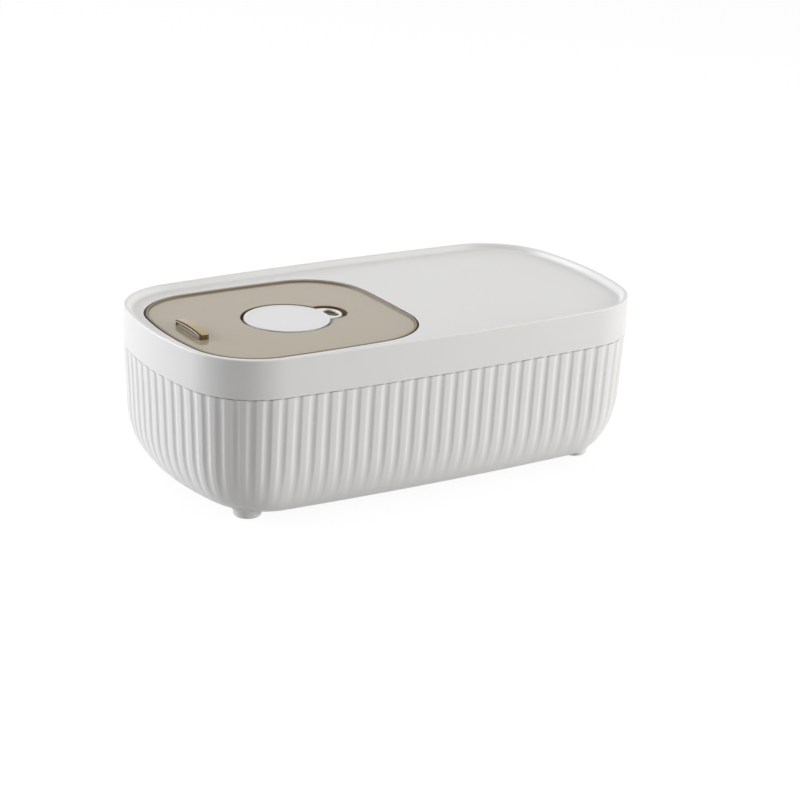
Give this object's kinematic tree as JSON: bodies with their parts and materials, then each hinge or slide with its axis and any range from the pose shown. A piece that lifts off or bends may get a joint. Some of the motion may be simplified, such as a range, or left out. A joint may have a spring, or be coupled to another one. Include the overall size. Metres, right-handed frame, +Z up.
{
  "type": "grain container",
  "caption": "Low ribbed grain bin with round corners and padded feet, a lift-off lid with a raised rim, and a flush amber flip cover that holds a round capped pocket.",
  "frame": {"origin": "on the floor under the middle of the bin, at the centre of its outline", "axes": "+X along the length towards the plain half of the lid, -Y towards the front long side, +Z up"},
  "size_m": [0.387, 0.205, 0.13],
  "materials": {
    "white_shell": "smooth white moulded plastic, satin gloss",
    "amber_cover": "polished amber moulded plastic, hazy and slightly see-through",
    "clear_silicone": "soft pale silicone, matt",
    "grey_rubber": "soft grey rubber, matt",
    "steel_pin": "drawn steel pin"
  },
  "bodies": {
    "tub": {"tub": "white_shell", "foot_pad_rear_left": "grey_rubber", "foot_pad_rear_right": "grey_rubber", "foot_pad_front_left": "grey_rubber", "foot_pad_front_right": "grey_rubber"},
    "lid": {"lid_frame": "white_shell", "lid_gasket": "clear_silicone", "hinge_pin_front": "steel_pin", "hinge_pin_rear": "steel_pin"},
    "cover": {"flip_cover": "amber_cover", "cover_gasket": "clear_silicone"},
    "cap": {"pocket_cap": "white_shell", "cap_seal": "clear_silicone"}
  },
  "joints": [
    {"name": "lid_lift", "type": "slide", "parent": "tub", "child": "lid", "axis": [0, 0, 1], "range_m": [0, 0.1]},
    {"name": "cover_hinge", "type": "hinge", "parent": "lid", "child": "cover", "pos_m": [0.0165, 0, 0.1203], "axis": [0, 1, 0], "range_deg": [0, 105]},
    {"name": "cap_lift", "type": "slide", "parent": "cover", "child": "cap", "axis": [0, 0, 1], "range_m": [0, 0.03]}
  ]
}
